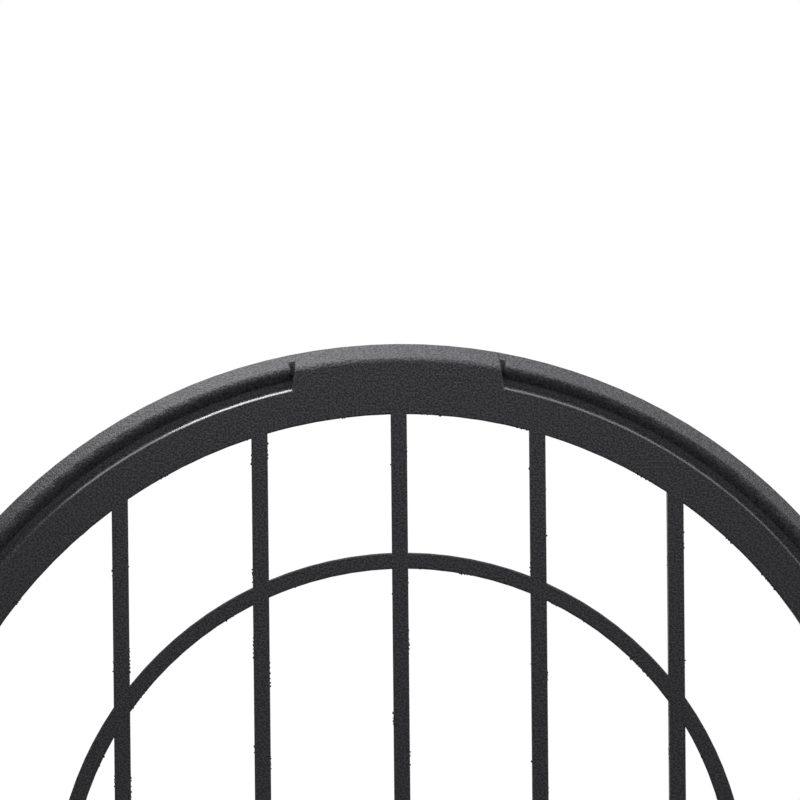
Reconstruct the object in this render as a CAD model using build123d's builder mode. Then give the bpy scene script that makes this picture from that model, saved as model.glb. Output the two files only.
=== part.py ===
"""A one-piece guard for a round seven-inch headlamp.

The guard is one casting: a flat ring with five upright bars and a hoop inside it, a rounded bead
around it behind a narrow groove, a plain pad at the top that bridges the groove, and a skirt at the
back that slips over the rim of the lamp.

It stands as it is fitted: the front looks along -Y, +Z is up, and the origin is on the axis of the
lamp, in the face that seats on the lamp's rim. Lengths are in millimetres and angles in degrees.
"""

import os
from math import asin, degrees, radians, tan

from build123d import *

# Rim and flat ring, seen from the front and measured inwards from the rim
rim_diameter = 203.5
rim_width = 6.0
plate_width = 6.85
plate_edge_chamfer = 0.45

# Groove outside the flat ring, and a rounded bead that rises from it and slopes back to the rim
groove_depth = 1.5
groove_floor_width = 1.4
bead_inset = 2.65
bead_ridge_depth = 0.25
bead_radius = 1.2
bead_end_radius = 0.5
rim_slope = 42.0

# Flange and skirt at the back
flange_thickness = 4.8
skirt_length = 11.2
skirt_wall = 2.75
mouth_chamfer = 0.8
skirt_edge_chamfer = 0.5

# Bars and hoop, which are flush with the flat ring
bars_each_side = 2
bar_pitch = 25.4
bar_width = 3.0
hoop_diameter = 127.4
hoop_width = 3.0
grille_depth = 3.2
grille_draft = 5.0
window_edge_chamfer = 0.2

# Pad at the top, whose sides lean towards each other from a foot at the height of the window's top
pad_foot_width = 40.0
pad_side_lean = 8.0
pad_side_draft = 6.0
pad_slope_depth = 2.45
pad_front_radius = 1.5
pad_edge_radius = 0.4
gully_width = 0.95

# Diameters and radii that follow from the rim
plate_diameter = rim_diameter - 2 * rim_width
window_diameter = plate_diameter - 2 * plate_width
bead_diameter = rim_diameter - 2 * bead_inset
rim_radius = rim_diameter / 2
plate_radius = plate_diameter / 2
window_radius = window_diameter / 2
hoop_radius = hoop_diameter / 2
bore_radius = rim_radius - skirt_wall

# Depths and the draft of the grille
overall_depth = flange_thickness + skirt_length
draft_spread = grille_depth * tan(radians(grille_draft))
window_back_radius = window_radius + flange_thickness * tan(radians(grille_draft))

# Bead: its foot in the groove, its ridge before rounding, and the shoulder where its slope meets the rim
fall = tan(radians(rim_slope))
bead_foot_radius = plate_radius + groove_floor_width
bead_ridge_radius = bead_diameter / 2
shoulder_depth = bead_ridge_depth + bead_inset * fall

# Pad and the gully at each of its sides, where the bead stops
pad_face_radius = rim_radius - pad_slope_depth / fall
pad_root_radius = plate_radius - 2 * plate_edge_chamfer
pad_root_depth = (shoulder_depth + flange_thickness) / 2
pad_half_width = pad_foot_width / 2 - (bead_ridge_radius - window_radius) * tan(radians(pad_side_lean))
bead_gap_angle = 2 * degrees(asin((pad_half_width + gully_width) / bead_ridge_radius))
gully_foot_radius = (plate_radius + bead_foot_radius) / 2


def section_point(radius, depth):
    """A point of a section that is turned about Y, from its radius and its depth behind the front face."""
    return (radius, depth - flange_thickness)


def section_corners(sketch, *places):
    """The corners of a section that lie nearest to the given (radius, depth) places."""
    return [sketch.vertices().sort_by_distance(section_point(*place))[0] for place in places]


def upright_plane(depth):
    """The upright plane at a depth behind the front face, seen from the front."""
    return Plane.XZ.offset(flange_thickness - depth)


def pad_outline(foot_width):
    """The pad seen from the front, from the height of the window's top to beyond the rim."""
    with Locations((0, window_radius)):
        Trapezoid(
            foot_width,
            rim_diameter - window_diameter,
            90 - pad_side_lean,
            align=(Align.CENTER, Align.MIN),
        )


def window_outlines(growth):
    """The openings between the ring, the bars and the hoop, seen from the front and grown by a length."""
    Circle(window_radius + growth)
    Circle(hoop_radius - growth, mode=Mode.SUBTRACT)
    Circle(hoop_radius - hoop_width + growth)
    with GridLocations(bar_pitch, 0, 2 * bars_each_side + 1, 1):
        Rectangle(bar_width - 2 * growth, rim_diameter, mode=Mode.SUBTRACT)


# Pad: a turned section cut to the width of the pad, with its side edges rounded
with BuildPart() as pad:
    with BuildSketch() as pad_section:
        with BuildLine():
            Polyline(
                section_point(pad_root_radius, 0),
                section_point(pad_face_radius, 0),
                section_point(rim_radius, pad_slope_depth),
                section_point(rim_radius, pad_root_depth),
                section_point(pad_root_radius, pad_root_depth),
                close=True,
            )
        make_face()
        fillet(section_corners(pad_section, (pad_face_radius, 0)), pad_front_radius)
    revolve(axis=Axis.Y)
    with BuildSketch(upright_plane(flange_thickness)):
        pad_outline(pad_foot_width + 2 * flange_thickness * tan(radians(pad_side_draft)))
    extrude(amount=flange_thickness, taper=pad_side_draft, mode=Mode.INTERSECT)
    pad_face = pad.faces().sort_by(Axis.Y)[0]
    fillet(pad_face.edges().filter_by(GeomType.LINE), pad_edge_radius)

# Guard: the rim and a plain disc are turned as one section, then the windows are cut from the disc
with BuildPart() as headlight_guard:
    with BuildSketch() as rim_section:
        with BuildLine():
            Polyline(
                section_point(bead_foot_radius, groove_depth),
                section_point(bead_ridge_radius, bead_ridge_depth),
                section_point(rim_radius, shoulder_depth),
                section_point(rim_radius, overall_depth),
                section_point(bore_radius, overall_depth),
                section_point(bore_radius, flange_thickness),
                section_point(window_back_radius, flange_thickness),
                section_point(window_radius + draft_spread, grille_depth),
                section_point(0, grille_depth),
                section_point(0, 0),
                section_point(plate_radius, 0),
                section_point(plate_radius, groove_depth),
                close=True,
            )
        make_face()
        fillet(section_corners(rim_section, (bead_ridge_radius, bead_ridge_depth)), bead_radius)
        chamfer(section_corners(rim_section, (plate_radius, 0)), plate_edge_chamfer)
        chamfer(section_corners(rim_section, (rim_radius, overall_depth)), skirt_edge_chamfer)
        chamfer(section_corners(rim_section, (bore_radius, overall_depth)), mouth_chamfer)
    revolve(axis=Axis.Y)

    # The bead is cut away at the top, between two gullies beside the pad, and its ends are rounded
    with BuildSketch(Plane.XY.rotated((0, -bead_gap_angle / 2 - 90, 0))):
        with BuildLine():
            Polyline(
                section_point(gully_foot_radius, 0),
                section_point(rim_radius, 0),
                section_point(rim_radius, groove_depth),
                section_point(gully_foot_radius, groove_depth),
                close=True,
            )
        make_face()
    revolve(axis=Axis.Y, revolution_arc=bead_gap_angle, mode=Mode.SUBTRACT)
    bead_ends = headlight_guard.faces().filter_by(GeomType.PLANE).filter_by(Axis.Y, reverse=True)
    gully_floor = groove_depth - flange_thickness
    bead_end_edges = bead_ends.edges().filter_by_position(
        Axis.Y, -flange_thickness, gully_floor, inclusive=(True, False)
    )
    fillet(bead_end_edges, bead_end_radius)
    add(pad.part)

    # The windows are cut from the back, where the draft makes them widest, and again for their front bevel
    with BuildSketch(upright_plane(grille_depth)):
        window_outlines(draft_spread)
    extrude(amount=grille_depth, taper=grille_draft, mode=Mode.SUBTRACT)
    with BuildSketch(upright_plane(0)):
        window_outlines(window_edge_chamfer)
    extrude(amount=-window_edge_chamfer, taper=45, mode=Mode.SUBTRACT)

headlight_guard.part.label = "headlight_guard"

os.makedirs("parts", exist_ok=True)
export_step(headlight_guard.part, "parts/headlight_guard.step")
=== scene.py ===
"""Looks of the headlight guard: a casting under a fine-textured black powder coat, in a white studio.

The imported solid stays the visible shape. It gets its coat here, and small nibs of coat along the edges of
its openings. Lengths are in millimetres in the frame of the part, and MM turns them into Blender's metres.
"""

from math import cos, hypot, pi, radians, sin, tan
from random import Random

import bmesh
import bpy
from mathutils import Matrix, Vector


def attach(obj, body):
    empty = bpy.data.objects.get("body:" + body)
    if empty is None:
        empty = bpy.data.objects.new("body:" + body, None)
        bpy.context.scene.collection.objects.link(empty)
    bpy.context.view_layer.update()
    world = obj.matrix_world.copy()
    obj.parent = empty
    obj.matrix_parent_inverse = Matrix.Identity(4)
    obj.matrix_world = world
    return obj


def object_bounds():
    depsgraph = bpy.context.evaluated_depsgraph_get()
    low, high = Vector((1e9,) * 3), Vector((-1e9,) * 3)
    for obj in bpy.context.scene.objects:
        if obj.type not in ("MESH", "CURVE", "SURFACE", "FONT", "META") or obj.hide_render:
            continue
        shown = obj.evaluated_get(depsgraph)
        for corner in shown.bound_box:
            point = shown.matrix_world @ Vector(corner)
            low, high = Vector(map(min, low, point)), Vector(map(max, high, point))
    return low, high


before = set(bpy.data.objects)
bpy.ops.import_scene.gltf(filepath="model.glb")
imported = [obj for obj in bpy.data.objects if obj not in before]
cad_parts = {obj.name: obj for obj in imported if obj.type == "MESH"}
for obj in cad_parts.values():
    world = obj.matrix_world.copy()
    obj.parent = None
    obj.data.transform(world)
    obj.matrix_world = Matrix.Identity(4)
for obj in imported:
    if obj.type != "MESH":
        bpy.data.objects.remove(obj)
cad_low, cad_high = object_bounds()
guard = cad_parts["headlight_guard"]
MM = 0.001

# Camera: its place, the point that it looks at, its roll, and its lens and sensor
camera_place = (-38.45, -549.98, 99.34)
camera_target = (0.263, -4.8, 91.52)
camera_roll = radians(-0.55)
camera_lens = 135
camera_sensor = 36

# Lamps that look straight down: width, depth, place from the top of the guard, and radiance
lamps = {
    "left_softbox": (207, 150, (-70, -25, 100), 5.9),
    "right_softbox": (427, 80, (247, -40, 100), 7.1),
    "small_lamp": (140, 30, (-135, -11, 333), 56),
}

# Light of the room on matt surfaces, from the front and from the back, and how softly they blend
room_front = 0.3
room_back = 0.7
room_blend = 0.3

# Floor, which is plain around the guard and turns white further out
white = (1, 1, 1, 1)
floor_colour = (0.5, 0.5, 0.5, 1)
floor_radius = 3000
floor_corners = 128
floor_plain_radius = 300
floor_white_radius = 750

# Coat: its darkest and lightest shade, its sheen, and its grain
coat_colour_low = (0.001, 0.001, 0.0013, 1)
coat_colour_high = (0.023, 0.0233, 0.0283, 1)
coat_roughness = 0.5
coat_specular = 0.27
grain_size = 0.37
grain_height = 0.17
grain_detail = 2
grain_roughness = 0.5
grain_dark = 0.46
grain_light = 0.54

# Rounding of the edges in shading
round_radius = 0.35
round_samples = 8

# Narrow edges, which are smoother: bevels at 45 degrees, told by the Y of their normal, up to the groove
edge_slant = 0.707
edge_slant_margin = 0.015
edge_reach = 96
edge_roughness = 0.2
edge_bump = 0.1

# Sizes of the guard that the nibs follow
front_face = cad_low.y / MM
window_radius = 88.9
hoop_outer_radius = 63.7
hoop_inner_radius = 60.7
bar_places = (-50.8, -25.4, 0, 25.4, 50.8)
bar_half_width = 1.5
side_draft = radians(5)

# Nibs of coat, as ranges to draw from: their size, depth behind the front face, spacing and groups
nib_seed = 11
nib_subdivisions = 2
nib_radius = (0.10, 0.28)
nib_depth = (0.30, 1.2)
nib_spacing = (0.3, 1.1)
nibs_in_group = (1, 7)
group_spacing = (3, 24)


def add_node(tree, kind, inputs=None, **settings):
    """A node with its settings, whose inputs are set to values or linked to other nodes' outputs."""
    made = tree.nodes.new(kind)
    for name, value in settings.items():
        setattr(made, name, value)
    for socket, value in (inputs or {}).items():
        if isinstance(value, bpy.types.NodeSocket):
            tree.links.new(value, made.inputs[socket])
        else:
            made.inputs[socket].default_value = value
    return made


def maths(tree, operation, *values):
    """The output of a Math node."""
    return add_node(tree, "ShaderNodeMath", dict(enumerate(values)), operation=operation).outputs[0]


def mapped(tree, value, start, end, low=0.0, high=1.0, **settings):
    """A value that goes from low to high while another goes from start to end."""
    inputs = {"Value": value, "From Min": start, "From Max": end, "To Min": low, "To Max": high}
    return add_node(tree, "ShaderNodeMapRange", inputs, **settings).outputs[0]


def length(tree, vector):
    """The length of a vector."""
    return add_node(tree, "ShaderNodeVectorMath", {0: vector}, operation="LENGTH").outputs["Value"]


def y_part(tree, vector):
    """The Y of a vector."""
    return add_node(tree, "ShaderNodeSeparateXYZ", {0: vector}).outputs["Y"]


def new_material(name):
    """A material with an empty node tree, and its output node."""
    material = bpy.data.materials.new(name)
    material.use_nodes = True
    material.node_tree.nodes.clear()
    return material, add_node(material.node_tree, "ShaderNodeOutputMaterial")


def seen_rays(tree):
    """1 for the rays that show the background to the camera, in gloss or through glass."""
    path = add_node(tree, "ShaderNodeLightPath").outputs
    seen = maths(tree, "MAXIMUM", path["Is Camera Ray"], path["Is Glossy Ray"])
    return maths(tree, "MAXIMUM", seen, path["Is Transmission Ray"])


def narrow_edges(tree, place):
    """1 on the narrow edges and 0 elsewhere."""
    facing = y_part(tree, add_node(tree, "ShaderNodeNewGeometry").outputs["True Normal"])
    slanted = maths(tree, "COMPARE", maths(tree, "ABSOLUTE", facing), edge_slant, edge_slant_margin)
    from_front = add_node(tree, "ShaderNodeVectorMath", {0: place, 1: (1, 0, 1)}, operation="MULTIPLY")
    radius = length(tree, from_front.outputs[0])
    return maths(tree, "MULTIPLY", slanted, maths(tree, "LESS_THAN", radius, edge_reach * MM))


def powder_coat():
    """Satin black powder coat with a fine grain, smoother on the narrow edges."""
    material, output = new_material("powder_coat")
    tree = material.node_tree
    place = add_node(tree, "ShaderNodeTexCoord").outputs["Object"]
    grain = add_node(
        tree,
        "ShaderNodeTexNoise",
        {
            "Vector": place,
            "Scale": 1 / (grain_size * MM),
            "Detail": grain_detail,
            "Roughness": grain_roughness,
        },
    ).outputs["Fac"]
    shade = mapped(tree, grain, grain_dark, grain_light)
    # The colours of a Mix node are its inputs 6 and 7 and its output 2
    colour = add_node(
        tree,
        "ShaderNodeMix",
        {0: shade, 6: coat_colour_low, 7: coat_colour_high},
        data_type="RGBA",
    )
    edge = narrow_edges(tree, place)
    rounded = add_node(tree, "ShaderNodeBevel", {"Radius": round_radius * MM}, samples=round_samples)
    bump = add_node(
        tree,
        "ShaderNodeBump",
        {
            "Height": grain,
            "Strength": mapped(tree, edge, 0, 1, 1, edge_bump),
            "Distance": grain_height * MM,
            "Normal": rounded.outputs[0],
        },
    )
    shader = add_node(
        tree,
        "ShaderNodeBsdfPrincipled",
        {
            "Base Color": colour.outputs[2],
            "Roughness": mapped(tree, edge, 0, 1, coat_roughness, edge_roughness),
            "Specular IOR Level": coat_specular,
            "Normal": bump.outputs[0],
        },
    )
    tree.links.new(shader.outputs[0], output.inputs[0])
    return material


def edge_spots(chance, length_of_edge):
    """Places of the nibs along an edge, in loose groups."""
    place = chance.uniform(*group_spacing)
    while place < length_of_edge:
        for _ in range(chance.randint(*nibs_in_group)):
            yield place
            place += chance.uniform(*nib_spacing)
        place += chance.uniform(*group_spacing)


def clear_of_hoop(x, z):
    """Whether a spot beside a bar lies in an opening, away from the hoop and the ring."""
    distance = hypot(x, z)
    margin = nib_radius[1]
    between = hoop_outer_radius + margin < distance < window_radius - margin
    return between or distance < hoop_inner_radius - margin


def clear_of_bars(x):
    """Whether a spot beside the hoop or the ring lies away from the bars."""
    return all(abs(x - bar) > bar_half_width + nib_radius[1] for bar in bar_places)


def nib_spots(chance):
    """Spots on the edges of the openings, seen from the front, each with the direction out of the metal."""
    for bar in bar_places:
        for side in (-1, 1):
            for along in edge_spots(chance, 2 * window_radius):
                x = bar + side * bar_half_width
                z = along - window_radius
                if clear_of_hoop(x, z):
                    yield x, z, side, 0
    for radius in (hoop_inner_radius, window_radius):
        for along in edge_spots(chance, 2 * pi * radius):
            across, up = sin(along / radius), cos(along / radius)
            if clear_of_bars(radius * across):
                yield radius * across, radius * up, -across, -up


def make_nibs(material):
    """One piece with all nibs, on the sides of the bars, the hoop and the ring behind their front edges."""
    chance = Random(nib_seed)
    shape = bmesh.new()
    for x, z, across, up in nib_spots(chance):
        depth = chance.uniform(*nib_depth)
        inset = depth * tan(side_draft)
        centre = Vector((x - inset * across, front_face + depth, z - inset * up)) * MM
        size = Vector([chance.uniform(*nib_radius) for _ in range(3)]) * MM
        place = Matrix.LocRotScale(centre, None, size)
        bmesh.ops.create_icosphere(shape, subdivisions=nib_subdivisions, radius=1, matrix=place)
    mesh = bpy.data.meshes.new("coat_nibs")
    shape.to_mesh(mesh)
    shape.free()
    mesh.shade_smooth()
    mesh.materials.append(material)
    nibs = bpy.data.objects.new("coat_nibs", mesh)
    bpy.context.scene.collection.objects.link(nibs)
    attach(nibs, "root")


def make_camera():
    """The camera at the photograph's viewing place, rolled a little."""
    data = bpy.data.cameras.new("camera")
    data.lens = camera_lens
    data.sensor_width = camera_sensor
    camera = bpy.data.objects.new("camera", data)
    place = Vector(camera_place) * MM
    look = Vector(camera_target) * MM - place
    level = look.to_track_quat("-Z", "Y").to_matrix().to_4x4()
    camera.matrix_world = Matrix.Translation(place) @ level @ Matrix.Rotation(camera_roll, 4, "Z")
    bpy.context.scene.collection.objects.link(camera)
    bpy.context.scene.camera = camera


def make_lamp(name, width, depth, place, radiance):
    """A rectangular lamp above the guard that looks straight down and that the camera doesn't see."""
    data = bpy.data.lights.new(name, "AREA")
    data.shape = "RECTANGLE"
    data.size = width * MM
    data.size_y = depth * MM
    data.energy = radiance * pi * data.size * data.size_y
    lamp = bpy.data.objects.new(name, data)
    lamp.visible_camera = False
    lamp.location = Vector(place) * MM + Vector((0, 0, cad_high.z))
    bpy.context.scene.collection.objects.link(lamp)


def make_world():
    """A room that is white to the camera, in gloss and through glass, and lights matt surfaces less."""
    world = bpy.data.worlds.new("studio")
    bpy.context.scene.world = world
    world.use_nodes = True
    tree = world.node_tree
    tree.nodes.clear()
    direction = add_node(tree, "ShaderNodeTexCoord").outputs["Generated"]
    level = mapped(tree, y_part(tree, direction), -room_blend, room_blend, room_front, room_back)
    strength = maths(tree, "MAXIMUM", level, seen_rays(tree))
    background = add_node(tree, "ShaderNodeBackground", {"Color": white, "Strength": strength})
    output = add_node(tree, "ShaderNodeOutputWorld")
    tree.links.new(background.outputs[0], output.inputs[0])


def make_floor():
    """A pale floor that keeps the guard's shadow and turns white further out."""
    bpy.ops.mesh.primitive_circle_add(
        vertices=floor_corners, radius=floor_radius * MM, fill_type="NGON", location=(0, 0, cad_low.z)
    )
    floor = bpy.context.object
    floor.name = "floor"
    material, output = new_material("floor")
    tree = material.node_tree
    distance = length(tree, add_node(tree, "ShaderNodeTexCoord").outputs["Object"])
    far = mapped(
        tree, distance, floor_plain_radius * MM, floor_white_radius * MM, interpolation_type="SMOOTHSTEP"
    )
    share = maths(tree, "MULTIPLY", far, seen_rays(tree))
    plain = add_node(tree, "ShaderNodeBsdfDiffuse", {"Color": floor_colour})
    bright = add_node(tree, "ShaderNodeEmission", {"Color": white, "Strength": 1})
    mix = add_node(tree, "ShaderNodeMixShader", {0: share, 1: plain.outputs[0], 2: bright.outputs[0]})
    tree.links.new(mix.outputs[0], output.inputs[0])
    floor.data.materials.append(material)


coat = powder_coat()
guard.data.materials.clear()
guard.data.materials.append(coat)
make_nibs(coat)
make_camera()
for lamp_name, lamp_settings in lamps.items():
    make_lamp(lamp_name, *lamp_settings)
make_world()
make_floor()
bpy.context.scene.view_settings.view_transform = "Standard"
